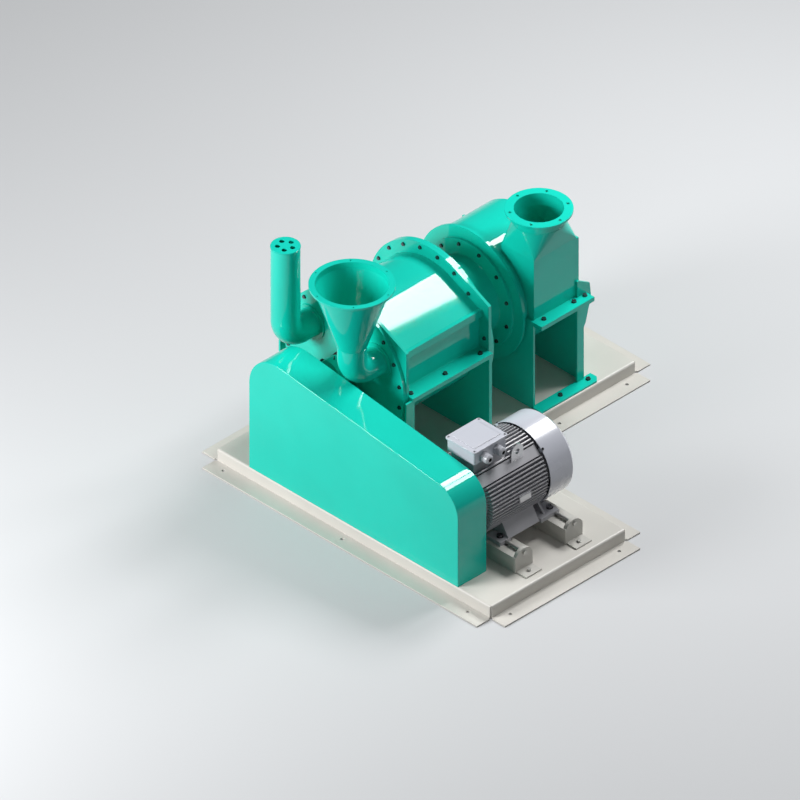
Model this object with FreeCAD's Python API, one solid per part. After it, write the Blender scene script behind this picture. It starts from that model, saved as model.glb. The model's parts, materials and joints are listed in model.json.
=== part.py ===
import FreeCAD, Part
import math
import os

V = FreeCAD.Vector
os.makedirs("parts", exist_ok=True)

# Micronizing mill: a belt-driven beater mill and its suction fan on one folded base.
# Millimetres. X runs along the belt guard, Y along the mill shaft, Z up from the floor.
# Modelling frame: X=0 and Y=0 are the left and front webs of the base, Z=0 the floor.

# Place of the motor's axis, and how far the base runs on past it
motor_x = 1458.0
base_past_motor = 466.0

# Base frame
base_len = 2000.0
base_leg_w = 940.0
base_reach = motor_x + base_past_motor
base_motor_d = 946.0
base_h = 75.0
base_t = 8.0
base_bend = 12.0
base_flange = 98.0
relief_r = 9.0
anchor_d = 18.0
anchor_in = 42.0
anchor_end = 92.0

# Fits and gaps
run_fit = 0.05
slip = 0.2
bolt_gap = 0.5

# Mill axis and casing 1, the grinding chamber
axis_x = base_leg_w / 2
axis_z = 601.0
shell_r = 350.0
shell_t = 10.0
flange_r = 418.0
flange_t = 18.0
cas1_y0 = 425.0
cas1_y1 = 1055.0
ring_bolt_r = 393.0
ring_bolts = 20
corner_z = 221.0
lip_h = 38.0
lip_t = 20.0
lip_up = 4.0

# Split shelves and the supports under them
shelf_t = 12.0
shelf1_x = 447.0
shelf2_x = 462.0
sup1_y0 = 414.0
sup1_y1 = 1013.0
leg1_w = 52.0
leg_t = 12.0
sup2_half = 403.0
sup2_y0 = 1346.0
sup2_y1 = 1666.0
foot_w = 58.0
foot_t = 10.0
bearing_centre_h = 80.0
bracket_t = 16.0
bracket_lip = 45.0
front_bracket_y = 306.0
pedestal_half = 185.0
rear_bracket_y = 1768.0
rear_bracket_half = 190.0
ear_y = 1751.0
rear_web_gap = 12.0

# Throat and casing 2, the fan
throat_r = 215.0
throat_t = 8.0
throat_flange_r = 300.0
throat_bolt_r = 273.0
throat_bolts = 12
fan_disc_r = 365.0
fan_shell_r = 345.0
fan_y0 = 1314.0
fan_y1 = 1660.0
fan_plate_t = 16.0
rear_bolts = 16

# Outlet duct
out_off = 277.0
out_x = axis_x + out_off
out_w = 228.0
out_y0 = 1363.0
out_y1 = 1660.0
out_box_z = 955.0
out_neck_z = 1080.0
out_top_z = 1151.0
out_neck_r = 131.0
out_t = 6.0
out_flange_r = 172.0
out_flange_t = 12.0
out_pcd_r = 149.0
out_hole_d = 16.0

# Air pipe and feed funnel
port_off = 233.0
port_y = 248.0
port_z = 750.0
port_r = 75.0
port_t = 5.0
port_bend = 105.0
port_top = 1300.0
cap_t = 5.0
cap_holes = 5
cap_hole_d = 27.0
cap_pcd_r = 40.0
ring_out_r = 217.0
ring_in_r = 185.0
ring_t = 10.0
funnel_rim = 34.0
cone_z = 926.0
funnel_t = 4.0
funnel_pcd_r = 203.0
funnel_hole_d = 9.0

# Shaft, pulleys and belts
shaft_r = 40.0
journal_r = 32.5
pulley_seat_r = 30.0
mill_pulley_r = 100.0
motor_pulley_r = 200.0
belt_count = 4
belt_pitch = 19.0
belt_top_w = 16.0
belt_depth = 12.0
belt_rise = 1.5
belt_gap = 0.3
belt_mid_y = 115.0
pulley_rim = 12.5

# Motor
motor_z = 388.0
motor_r = 178.0
motor_bore_r = 158.0
fin_r = 218.0
fin_t = 6.5
fin_count = 64
motor_y0 = 214.0
motor_y1 = 681.0
shield_t = 26.0
cowl_r = 223.5
cowl_t = 3.0
cowl_y1 = 839.0
cowl_round = 24.0
motor_shaft_r = 30.0
motor_shaft_y = 62.0
foot_bolt_y = 349.0
foot_hole_b = 349.0
foot_hole_a = 356.0
foot_h = 22.0
foot_pad = 38.0
foot_long = 100.0
foot_spare = 56.0
side_plate_y0 = 369.0
side_plate_y1 = 583.0
core_inset = 90.0
core_bore_r = 42.0
cool_gap = 30.0
cool_back = 70.0
cool_hub_r = 42.0
cool_disc_r = 150.0
cool_r = 176.0
cool_seat_r = 24.0
shaft_back = 62.0

# Terminal box
box_half = 97.0
box_x0 = motor_x - box_half
box_x1 = motor_x + box_half
box_y0 = 252.0
box_y1 = 476.0
box_z0 = 622.0
box_z1 = 690.0
lid_t = 10.0
gland_r = 29.0
gland_neck_r = 16.0
gland_nut_h = 16.0
gland_l = 50.0
gland_ys = (314.0, 407.0)
gland_z = 648.0
eye_off = 121.0
eye_y = 515.0
eye_rise = 209.0
eye_hole_r = 15.0
eye_out_r = 42.0
eye_t = 14.0
band_from = 39.5
band_to = 56.5
band_in = 10.0
plate_y0 = 445.0
plate_y1 = 527.0

# Slide rails
rail_w = 120.0
rail_h = 88.0
rail_left = 328.0
rail_right = 348.0
rail_x0 = motor_x - rail_left
rail_x1 = motor_x + rail_right
rail_slot_w = 22.0
rail_slot_l = 118.0
tab_l = 70.0
tab_w = 108.0
tab_t = 8.0

# Belt guard
guard_left = 245.0
guard_right = 230.0
guard_strip_in = 232.0
guard_x0 = axis_x - guard_left
guard_x1 = motor_x + guard_right
guard_y0 = 4.0
guard_y1 = 202.0
guard_t = 3.0
guard_top = 834.0
guard_slope = 0.128
guard_r_left = 190.0
guard_r_right = 160.0
guard_back_t = 4.0

# The frame origin is on the floor under the middle of the base
origin = V(-base_reach / 2, -base_len / 2, 0)


def box(x0, x1, y0, y1, z0, z1):
    return Part.makeBox(x1 - x0, y1 - y0, z1 - z0, V(x0, y0, z0))


def cyl_x(r, x0, x1, y, z):
    return Part.makeCylinder(r, x1 - x0, V(x0, y, z), V(1, 0, 0))


def cyl_y(r, y0, y1, x=axis_x, z=axis_z):
    return Part.makeCylinder(r, y1 - y0, V(x, y0, z), V(0, 1, 0))


def cyl_z(r, z0, z1, x, y):
    return Part.makeCylinder(r, z1 - z0, V(x, y, z0), V(0, 0, 1))


def ring_y(ro, ri, y0, y1, x=axis_x, z=axis_z):
    return cyl_y(ro, y0, y1, x, z).cut(cyl_y(ri, y0 - 1, y1 + 1, x, z))


def prism_y(points, y0, y1):
    wire = Part.makePolygon([V(x, y0, z) for x, z in points + points[:1]])
    return Part.Face(wire).extrude(V(0, y1 - y0, 0))


def prism_x(points, x0, x1):
    wire = Part.makePolygon([V(x0, y, z) for y, z in points + points[:1]])
    return Part.Face(wire).extrude(V(x1 - x0, 0, 0))


def prism_z(points, z0, z1):
    wire = Part.makePolygon([V(x, y, z0) for x, y in points + points[:1]])
    return Part.Face(wire).extrude(V(0, 0, z1 - z0))


def lathe_y(profile, x=axis_x, z=axis_z):
    """Turn a profile of (radius, y) points about an axis along Y."""
    wire = Part.makePolygon([V(x + r, y, z) for r, y in profile + profile[:1]])
    return Part.Face(wire).revolve(V(x, 0, z), V(0, 1, 0), 360)


def lathe_z(profile, x, y):
    wire = Part.makePolygon([V(x + r, y, z) for r, z in profile + profile[:1]])
    return Part.Face(wire).revolve(V(x, y, 0), V(0, 0, 1), 360)


def polar(radius, count, first=0.0, x=axis_x, z=axis_z):
    """Points (x, z) spaced evenly round an axis along Y."""
    out = []
    for i in range(count):
        a = math.radians(first + i * 360.0 / count)
        out.append((x + radius * math.cos(a), z + radius * math.sin(a)))
    return out


def join(shapes):
    out = shapes[0]
    if len(shapes) > 1:
        out = out.fuse(shapes[1:])
    return out.removeSplitter()


def drill(shape, tools):
    return shape.cut(tools) if tools else shape


def fillet_if(shape, radius, test):
    edges = [e for e in shape.Edges if test(e)]
    return shape.makeFillet(radius, edges) if edges else shape


def chamfer_if(shape, size, test):
    edges = [e for e in shape.Edges if test(e)]
    return shape.makeChamfer(size, edges) if edges else shape


def hexagon(r, length, base, axis):
    """A hexagonal prism with corner radius r, from base along axis."""
    side = V(0, 0, 1) if abs(axis.z) < 0.5 else V(1, 0, 0)
    other = axis.cross(side)
    points = []
    for i in range(7):
        a = math.radians(60 * i)
        points.append(base + side * (r * math.cos(a)) + other * (r * math.sin(a)))
    return Part.Face(Part.makePolygon(points)).extrude(axis * length)


def bolt(d, base, axis, grip, washer=True):
    """Hex bolt: base is the seat under the washer, axis points out of the seat."""
    head_at = base + axis * (0.2 * d if washer else 0)
    parts = [hexagon(0.95 * d, 0.65 * d, head_at, axis)]
    if washer:
        parts.append(Part.makeCylinder(1.1 * d, 0.2 * d, base, axis))
    parts.append(Part.makeCylinder(0.5 * d, grip, base, axis * -1))
    return join(parts)


def export(name, shapes):
    """Write one node, moved from the base's corner frame to the part's origin."""
    if not isinstance(shapes, list):
        shapes = [shapes]
    solids = [s for shape in shapes for s in shape.Solids]
    shape = solids[0] if len(solids) == 1 else Part.makeCompound(solids)
    shape = shape.copy()
    shape.translate(origin)
    shape.exportStep("parts/" + name + ".step")


# Base frame: one folded sheet, L-shaped in plan, with webs and outward floor flanges
def base_outline(inset):
    w = base_leg_w - inset
    d = base_motor_d - inset
    return [(inset, inset), (base_reach - inset, inset), (base_reach - inset, d),
            (w, d), (w, base_len - inset), (inset, base_len - inset)]


def is_top_edge(z):
    def test(edge):
        b = edge.BoundBox
        return abs(b.ZMin - z) < 0.01 and abs(b.ZMax - z) < 0.01
    return test


def anchor_points():
    near = -anchor_in
    xs = [anchor_end, base_leg_w - 17.0, base_reach - anchor_end - 27.0]
    points = [(x, near) for x in xs]
    ys = [anchor_end, base_len / 2, base_len - anchor_end - 16.0]
    points += [(near, y) for y in ys]
    points += [(anchor_end + 60.0, base_len - near), (base_leg_w - anchor_end, base_len - near)]
    points += [(base_leg_w - near, ys[2]), (base_leg_w - near, (base_motor_d + ys[2]) / 2)]
    points += [(base_reach - near, anchor_end), (base_reach - near, base_motor_d - anchor_end)]
    points += [(base_reach - anchor_end - 27.0, base_motor_d - near)]
    return points


def make_base():
    outer = prism_z(base_outline(0), 0, base_h)
    outer = fillet_if(outer, base_bend, is_top_edge(base_h))
    inner = prism_z(base_outline(base_t), -1, base_h - base_t)
    inner = fillet_if(inner, base_bend - base_t, is_top_edge(base_h - base_t))
    f = base_flange
    flanges = [
        box(0, base_reach, -f, 1, 0, base_t),
        box(-f, 1, 0, base_len, 0, base_t),
        box(0, base_leg_w, base_len - 1, base_len + f, 0, base_t),
        box(base_leg_w - 1, base_leg_w + f, base_motor_d + f + 6, base_len, 0, base_t),
        box(base_reach - 1, base_reach + f, 0, base_motor_d, 0, base_t),
        box(base_leg_w + 6, base_reach, base_motor_d - 1, base_motor_d + f, 0, base_t),
    ]
    corners = [p for i, p in enumerate(base_outline(0)) if i != 3]
    reliefs = [cyl_z(relief_r, -1, base_h + 1, x, y) for x, y in corners]
    anchors = [cyl_z(anchor_d / 2, -1, base_t + 1, x, y) for x, y in anchor_points()]
    frame = join([outer.cut(inner)] + flanges)
    return drill(frame, reliefs + anchors + base_holes)


# Bolts that hold the supports and rails down share these places with the base holes
foot_bolt_d = 12.0
foot_places = []
for sx in (-1, 1):
    for y in (sup2_y0 + 170, sup2_y1 + 45):
        foot_places.append((axis_x + sx * (sup2_half + 19), y))
    for y in (sup1_y0 + 120, 0.5 * (sup1_y0 + sup1_y1), sup1_y1 - 90):
        foot_places.append((axis_x + sx * (shelf1_x - leg_t - foot_w / 2), y))
pedestal_places = [(axis_x + sx * (pedestal_half + 32.0), y) for sx in (-1, 1)
                   for y in (front_bracket_y + 28.0, sup1_y0 - 34.0)]
rail_ys = [foot_bolt_y, foot_bolt_y + foot_hole_b]
rail_places = []
for y in rail_ys:
    rail_places.append((rail_x0 - tab_l / 2, y))
    rail_places.append((rail_x1 + tab_l / 2, y))
guard_bolt_d = 10.0
guard_strip_x0 = guard_x0 + 20.0
guard_strip_x1 = motor_x - guard_strip_in
guard_feet = []
for i in range(4):
    guard_feet.append((guard_strip_x0 + (0.5 + i) / 4 * (guard_strip_x1 - guard_strip_x0), guard_y1 + 16.0))
base_holes = []
for d, places in ((foot_bolt_d, foot_places + pedestal_places + rail_places), (guard_bolt_d, guard_feet)):
    for x, y in places:
        base_holes.append(cyl_z(d / 2 + bolt_gap, base_h - base_t - 1, base_h + 1, x, y))

export("base_frame", make_base())


# Casing 1: shell with a tangent hood on the motor side, end flanges and split shelves
def hood_section(r, corner, y0, y1, drop=0.0):
    """Circle of radius r with a straight hood tangent to it and out to a corner."""
    cx, cz = corner
    dist = math.hypot(cx, cz)
    ang = math.atan2(cz, cx) + math.acos(min(1.0, r / dist))
    top = (axis_x + r * math.cos(ang), axis_z + r * math.sin(ang))
    wedge = prism_y([(axis_x, axis_z), top, (axis_x + cx, axis_z + cz), (axis_x + cx, axis_z + drop)],
                    y0, y1)
    return join([cyl_y(r, y0, y1), wedge])


corner_k = corner_z / shell_r
flange_corner = (flange_r, flange_r * corner_k)
inner_r = shell_r - shell_t
ring_points = polar(ring_bolt_r, ring_bolts, 9.0)
# One place on the throat side is taken up by the hood
throat_disc_points = ring_points[:1] + ring_points[2:]
ring_bolt_d = 10.0


def bolt_holes(points, d, y0, y1):
    return [cyl_y(d / 2 + bolt_gap, y0, y1, x, z) for x, z in points]


def shelf_points(half, ys):
    return [(axis_x + s * (half - 42.0), y) for s in (-1, 1) for y in ys]


shelf1_ys = [488.0, 728.0, 972.0]
shelf2_ys = [1403.0, 1614.0, 1690.0]
shelf_bolt_d = 12.0


def shelf_holes(points, z0, z1):
    return [cyl_z(shelf_bolt_d / 2 + bolt_gap, z0, z1, x, y) for x, y in points]


def make_front_casing():
    ya = cas1_y0 + flange_t
    yb = cas1_y1 - flange_t
    outer = hood_section(shell_r, (shell_r, corner_z), ya, yb)
    flange_a = hood_section(flange_r, flange_corner, ya, ya + flange_t)
    flange_b = hood_section(flange_r, flange_corner, yb - flange_t, yb)
    y0 = ya + flange_t
    y1 = yb - flange_t
    # Lip bar along the hood's corner, between the two flanges
    lx = axis_x + shell_r
    lz = axis_z + corner_z
    lip = box(lx - 1, lx + lip_t, y0, y1, lz - lip_h, lz + lip_up)
    shelves = []
    for s in (-1, 1):
        xa = axis_x + s * (shell_r - 5.0)
        xb = axis_x + s * shelf1_x
        shelves.append(box(min(xa, xb), max(xa, xb), y0, y1, axis_z - shelf_t, axis_z))
    casing = join([outer, flange_a, flange_b, lip] + shelves)
    bore = cyl_y(inner_r, ya - 1, yb + 1)
    tools = bolt_holes(ring_points, ring_bolt_d, ya - 1, y0 + 0.1)
    tools += bolt_holes(throat_disc_points, ring_bolt_d, y1 - 0.1, yb + 1)
    tools += shelf_holes(shelf_points(shelf1_x, shelf1_ys), axis_z - shelf_t - 1, axis_z + 1)
    return drill(casing, [bore] + tools)


# Ports in the front end plate for the air pipe and the feed elbow
port_xs = [axis_x - port_off, axis_x + port_off]
seal_r = 62.0


def make_front_plate():
    plate = cyl_y(flange_r, cas1_y0, cas1_y0 + flange_t)
    tools = bolt_holes(ring_points, ring_bolt_d, cas1_y0 - 1, cas1_y0 + flange_t + 1)
    tools += [cyl_y(port_r + bolt_gap, cas1_y0 - 1, cas1_y0 + flange_t + 1, x, port_z) for x in port_xs]
    tools.append(cyl_y(seal_r + slip, cas1_y0 - 1, cas1_y0 + flange_t + 1))
    return drill(plate, tools)


throat_points = polar(throat_bolt_r, throat_bolts, 15.0)
throat_bolt_d = 10.0


def make_throat():
    yb = cas1_y1 - flange_t
    disc = ring_y(flange_r, throat_r - throat_t, yb, cas1_y1)
    tube = ring_y(throat_r, throat_r - throat_t, cas1_y1 - 1, fan_y0)
    collar = ring_y(throat_flange_r, throat_r - throat_t, fan_y0 - 14.0, fan_y0)
    tools = bolt_holes(throat_disc_points, ring_bolt_d, yb - 1, cas1_y1 + 1)
    tools += bolt_holes(throat_points, throat_bolt_d, fan_y0 - 15.0, fan_y0 + 1)
    return drill(join([disc, tube, collar]), tools)


# Grinding liner: a ribbed ring inside casing 1
liner_t = 14.0
liner_ribs = 36
liner_r = inner_r - 0.3


def make_liner():
    y0 = cas1_y0 + 2 * flange_t + 2
    y1 = cas1_y1 - 2 * flange_t - 2
    ring = ring_y(liner_r, liner_r - liner_t, y0, y1)
    slots = []
    for i in range(liner_ribs):
        slot = box(axis_x + liner_r - liner_t - 6, axis_x + liner_r - liner_t + 6, y0 - 1, y1 + 1,
                   axis_z - 7, axis_z + 7)
        slot.rotate(V(axis_x, 0, axis_z), V(0, 1, 0), i * 360.0 / liner_ribs)
        slots.append(slot)
    return drill(ring, slots)


export("front_casing", make_front_casing())
export("front_end_plate", make_front_plate())
export("throat_duct", make_throat())
export("grinding_liner", make_liner())


# Casing 2: fan shell with front disc, split shelves and the tangential outlet duct
out_x0 = out_x - out_w / 2
out_x1 = out_x + out_w / 2
out_y = (out_y0 + out_y1) / 2
rear_ring_w = 34.0
rear_points = polar(fan_shell_r - 22.0, rear_bolts, 11.25)
rear_bolt_d = 10.0
fan_inner = fan_shell_r - shell_t
shelf2_end = 1716.0


def duct_loft(inset, z0, z1):
    """Square to round transition: four flat triangles with a quarter cone at each corner."""
    xs = (out_x0 + inset, out_x1 - inset)
    ys = (out_y0 + inset, out_y1 - inset)
    r = out_neck_r - inset

    def on_circle(deg):
        a = math.radians(deg)
        return V(out_x + r * math.cos(a), out_y + r * math.sin(a), z1)
    corners = [V(xs[0], ys[0], z0), V(xs[1], ys[0], z0), V(xs[1], ys[1], z0), V(xs[0], ys[1], z0)]
    faces = [Part.Face(Part.makePolygon(corners + corners[:1]))]
    arcs = []
    for i in range(4):
        near = on_circle(90 * i - 90)
        arc = Part.Arc(on_circle(90 * i - 180), on_circle(90 * i - 135), near).toShape()
        arcs.append(arc)
        ahead = corners[(i + 1) % 4]
        faces.append(Part.Face(Part.makePolygon([corners[i], ahead, near, corners[i]])))
        cone = Part.makeLoft([Part.Vertex(corners[i]), Part.Wire(arc)], False, True)
        faces += cone.Faces
    faces.append(Part.Face(Part.Wire(Part.__sortEdges__(arcs))))
    shell = Part.makeShell(faces)
    shell.sewShape()
    return Part.makeSolid(shell)


def make_rear_casing():
    disc = cyl_y(fan_disc_r, fan_y0, fan_y0 + fan_plate_t)
    shell = cyl_y(fan_shell_r, fan_y0, fan_y1)
    duct = box(out_x0, out_x1, out_y0, out_y1, axis_z - shelf_t / 2, out_box_z)
    loft = duct_loft(0, out_box_z, out_neck_z)
    neck = cyl_z(out_neck_r, out_neck_z, out_top_z, out_x, out_y)
    rim = cyl_z(out_flange_r, out_top_z - out_flange_t, out_top_z, out_x, out_y)
    shelves = []
    for s in (-1, 1):
        xa = axis_x + s * (fan_shell_r - 5.0)
        xb = axis_x + s * shelf2_x
        shelves.append(box(min(xa, xb), max(xa, xb), sup2_y0, sup2_y1 - 20.0, axis_z - shelf_t, axis_z))
        # A narrower end of the shelf passes outside the support's ear
        xa = axis_x + s * (sup2_half + 1.5)
        shelves.append(box(min(xa, xb), max(xa, xb), sup2_y1 - 30.0, shelf2_end, axis_z - shelf_t, axis_z))
    body = join([disc, shell, duct, loft, neck, rim] + shelves)
    t = out_t
    tools = [
        cyl_y(fan_inner, fan_y0 + fan_plate_t, fan_y1 - 12.0),
        cyl_y(fan_shell_r - rear_ring_w, fan_y0 + fan_plate_t, fan_y1 + 1),
        cyl_y(throat_r - throat_t, fan_y0 - 1, fan_y0 + fan_plate_t + 1),
    ]
    way = [box(out_x0 + t, out_x1 - t, out_y0 + t, out_y1 - t, axis_z + shelf_t, out_box_z),
           duct_loft(t, out_box_z, out_neck_z),
           cyl_z(out_neck_r - t, out_neck_z, out_top_z + 1, out_x, out_y)]
    tools.append(way[0].fuse(way[1:]))
    for i in range(6):
        a = math.radians(60 * i)
        tools.append(cyl_z(out_hole_d / 2, out_top_z - out_flange_t - 1, out_top_z + 1,
                           out_x + out_pcd_r * math.cos(a), out_y + out_pcd_r * math.sin(a)))
    tools += bolt_holes(throat_points, throat_bolt_d, fan_y0 - 1, fan_y0 + fan_plate_t + 1)
    tools += bolt_holes(rear_points, rear_bolt_d, fan_y1 - 13.0, fan_y1 + 1)
    tools += shelf_holes(shelf_points(shelf2_x, shelf2_ys), axis_z - shelf_t - 1, axis_z + 1)
    return drill(body, tools)


def make_rear_cover():
    side = box(axis_x, out_x1, fan_y1, fan_y1 + fan_plate_t, axis_z, out_box_z - 7.0)
    cover = join([cyl_y(fan_shell_r, fan_y1, fan_y1 + fan_plate_t), side])
    tools = bolt_holes(rear_points, rear_bolt_d, fan_y1 - 1, fan_y1 + fan_plate_t + 1)
    tools.append(cyl_y(seal_r + slip, fan_y1 - 1, fan_y1 + fan_plate_t + 1))
    return drill(cover, tools)


export("rear_casing", make_rear_casing())
export("rear_cover", make_rear_cover())


# Supports: welded plates that carry each casing at its split shelf
shelf_z = axis_z - shelf_t
bracket_top = axis_z - bearing_centre_h
bearing_bolt_d = 16.0
bearing_bolt_x = 115.0
front_bearing_y = 356.0
rear_bearing_y = 1730.0


def bearing_holes(y):
    return [cyl_z(bearing_bolt_d / 2 + bolt_gap, bracket_top - bracket_t - 1, bracket_top + 1,
                  axis_x + s * bearing_bolt_x, y) for s in (-1, 1)]


def make_front_support():
    xo = shelf1_x
    parts = []
    for s in (-1, 1):
        def span(a, b):
            p = axis_x + s * a
            q = axis_x + s * b
            return min(p, q), max(p, q)
        x0, x1 = span(xo - leg_t, xo)
        parts.append(box(x0, x1, sup1_y0, sup1_y0 + leg1_w, base_h, shelf_z))
        parts.append(box(x0, x1, sup1_y1 - 20.0, sup1_y1, base_h, shelf_z))
        top0, top1 = span(flange_r - 50.0, xo)
        parts.append(box(top0, top1, cas1_y0 + 2 * flange_t + 1, sup1_y1, shelf_z - shelf_t, shelf_z))
        f0, f1 = span(xo - leg_t - foot_w, xo)
        parts.append(box(f0, f1, sup1_y0, sup1_y1, base_h, base_h + foot_t))
    web_z = shelf_z - 1
    near = box(axis_x - xo, axis_x + xo, cas1_y0 + 2 * flange_t + 1, cas1_y0 + 2 * flange_t + 11, base_h, web_z)
    far = box(axis_x - xo, axis_x + xo, sup1_y1 - 20.0, sup1_y1 - 10.0, base_h, web_z)
    cradle = cyl_y(shell_r + 0.5, sup1_y0 - 5, sup1_y1 + 5)
    parts += [near.cut(cradle), far.cut(cradle)]
    frame = join(parts)
    foot = [cyl_z(foot_bolt_d / 2 + bolt_gap, base_h - 1, base_h + foot_t + 1, x, y)
            for x, y in foot_places if y < sup1_y1]
    tools = foot + shelf_holes(shelf_points(shelf1_x, shelf1_ys), shelf_z - shelf_t - 1, shelf_z + 1)
    return drill(frame, tools)


def make_pedestal():
    """Welded stand for the front bearing, between the guard and the end plate."""
    y0 = front_bracket_y
    y1 = sup1_y0 - 6.0
    w = pedestal_half
    top = box(axis_x - w, axis_x + w, y0, y1, bracket_top - bracket_t, bracket_top)
    foot = box(axis_x - w - foot_w, axis_x + w + foot_w, y0, y1, base_h, base_h + foot_t)
    parts = [top, foot]
    for s in (-1, 1):
        xa = axis_x + s * (w - leg_t)
        xb = axis_x + s * w
        parts.append(box(min(xa, xb), max(xa, xb), y0, y1, base_h, bracket_top))
    mid = (y0 + y1) / 2
    parts.append(box(axis_x - w, axis_x + w, mid - 5.0, mid + 5.0, base_h, bracket_top))
    tools = [cyl_z(foot_bolt_d / 2 + bolt_gap, base_h - 1, base_h + foot_t + 1, x, y) for x, y in pedestal_places]
    return drill(join(parts), tools + bearing_holes(front_bearing_y))


def make_rear_support():
    xo = sup2_half
    cradle = cyl_y(fan_disc_r + 1.0, fan_y0 - 5, fan_y1 + fan_plate_t + 1)
    shell_cut = cyl_y(fan_shell_r + 0.5, sup2_y0 - 5, sup2_y1 + 5)
    near = box(axis_x - xo, axis_x + xo, sup2_y0, sup2_y0 + leg_t, base_h, shelf_z).cut(shell_cut)
    far_y0 = fan_y1 + fan_plate_t + rear_web_gap
    far = box(axis_x - xo, axis_x + xo, far_y0, far_y0 + leg_t, base_h, bracket_top - 1)
    parts = [near, far]
    for s in (-1, 1):
        def span(a, b):
            p = axis_x + s * a
            q = axis_x + s * b
            return min(p, q), max(p, q)
        top0, top1 = span(fan_shell_r + 2.0, shelf2_x)
        parts.append(box(top0, top1, sup2_y0, sup2_y1 - 20.0, shelf_z - shelf_t, shelf_z).cut(cradle))
        # The shelf runs on, narrower, to the ear of the bearing bracket
        end0, end1 = span(fan_disc_r + 6.0, shelf2_x)
        parts.append(box(end0, end1, sup2_y1 - 30.0, shelf2_end, shelf_z - shelf_t, shelf_z))
        f0, f1 = span(xo - leg_t, xo + foot_w)
        chamfer = 25.0
        ye = far_y0 + 70.0
        xs = (f0, f1) if s > 0 else (f1, f0)
        foot = [(xs[0], sup2_y0), (xs[1], sup2_y0), (xs[1], ye - chamfer), (xs[1] - s * chamfer, ye),
                (xs[0], ye)]
        parts.append(prism_z(foot, base_h, base_h + foot_t))
        e0, e1 = span(xo - leg_t, xo)
        ear = [(sup2_y1 - 12.0, axis_z + 93.0), (sup2_y1, axis_z + 93.0), (ear_y - 10.0, axis_z + 46.0),
               (ear_y, axis_z - 38.0), (ear_y - 38.0, axis_z - 180.0), (far_y0 + 1, axis_z - 226.0),
               (sup2_y1 - 12.0, axis_z - 226.0)]
        parts.append(prism_x(ear, e0, e1))
        parts.append(box(e0, e1, sup2_y1 - 12.0, far_y0 + 1, base_h, axis_z - 200.0))
    half = rear_bracket_half
    shelf = box(axis_x - half, axis_x + half, far_y0, rear_bracket_y, bracket_top - bracket_t, bracket_top)
    lip = box(axis_x - half, axis_x + half, rear_bracket_y - 10.0, rear_bracket_y,
              bracket_top - bracket_lip, bracket_top)
    parts += [shelf, lip]
    gusset = [(far_y0 + 1, bracket_top - 1), (rear_bracket_y - 1, bracket_top - 1), (far_y0 + 1, bracket_top - 130.0)]
    for x in (-half, half - 10.0):
        parts.append(prism_x(gusset, axis_x + x, axis_x + x + 10.0))
    foot = [cyl_z(foot_bolt_d / 2 + bolt_gap, base_h - 1, base_h + foot_t + 1, x, y)
            for x, y in foot_places if y > sup2_y0]
    tools = foot + bearing_holes(rear_bearing_y)
    tools += shelf_holes(shelf_points(shelf2_x, shelf2_ys), shelf_z - shelf_t - 1, shelf_z + 1)
    return drill(join(parts), tools)


export("front_support", make_front_support())
export("bearing_pedestal", make_pedestal())
export("rear_support", make_rear_support())


# Pipes through the front end plate: a quarter bend swept from vertical to level
def port_solid(r, x, z_top, y_end):
    down = cyl_z(r, port_z + port_bend, z_top, x, port_y)
    level = cyl_y(r, port_y + port_bend, y_end, x, port_z)
    circle = Part.Face(Part.Wire(Part.makeCircle(r, V(x, port_y, port_z + port_bend), V(0, 0, 1))))
    bend = circle.revolve(V(x, port_y + port_bend, port_z + port_bend), V(1, 0, 0), 90)
    return join([down, bend, level])


port_end = cas1_y0 + flange_t


def make_air_pipe():
    x = port_xs[0]
    collar = ring_y(port_r + 22.0, port_r - port_t, cas1_y0 - 8.0, cas1_y0, x, port_z)
    pipe = join([port_solid(port_r, x, port_top - cap_t, port_end), collar])
    return pipe.cut(port_solid(port_r - port_t, x, port_top, port_end + 1))


def make_air_cap():
    x = port_xs[0]
    cap = cyl_z(port_r, port_top - cap_t, port_top, x, port_y)
    tools = []
    for i in range(cap_holes):
        a = math.radians(90 + 72 * i)
        tools.append(cyl_z(cap_hole_d / 2, port_top - cap_t - 1, port_top + 1,
                           x + cap_pcd_r * math.cos(a), port_y + cap_pcd_r * math.sin(a)))
    return drill(cap, tools)


def make_funnel():
    x = port_xs[1]
    ri = ring_in_r
    rim_z = port_top - funnel_rim
    t = funnel_t
    outer = [(0, cone_z), (port_r, cone_z), (ri + t, rim_z), (ri + t, port_top - ring_t),
             (ring_out_r, port_top - ring_t), (ring_out_r, port_top), (0, port_top)]
    inner = [(0, cone_z - 1), (port_r - port_t, cone_z - 1), (port_r - port_t, cone_z), (ri, rim_z),
             (ri, port_top + 1), (0, port_top + 1)]
    collar = ring_y(port_r + 22.0, port_r - port_t, cas1_y0 - 8.0, cas1_y0, x, port_z)
    body = join([lathe_z(outer, x, port_y), port_solid(port_r, x, cone_z + 1, port_end), collar])
    tools = [lathe_z(inner, x, port_y), port_solid(port_r - port_t, x, cone_z + 0.5, port_end + 1)]
    for i in range(6):
        a = math.radians(17 + 60 * i)
        tools.append(cyl_z(funnel_hole_d / 2, port_top - ring_t - 1, port_top + 1,
                           x + funnel_pcd_r * math.cos(a), port_y + funnel_pcd_r * math.sin(a)))
    return drill(body, tools)


export("air_inlet_pipe", make_air_pipe())
export("air_inlet_cap", make_air_cap())
export("feed_funnel", make_funnel())


# Main shaft and what turns with it
shaft_y0 = 60.0
pulley_face = (belt_count - 1) * belt_pitch + 2 * pulley_rim
pulley_y0 = belt_mid_y - pulley_face / 2
pulley_y1 = belt_mid_y + pulley_face / 2
bearing_w = 58.0
journal_end = rear_bearing_y + 34.0


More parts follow.
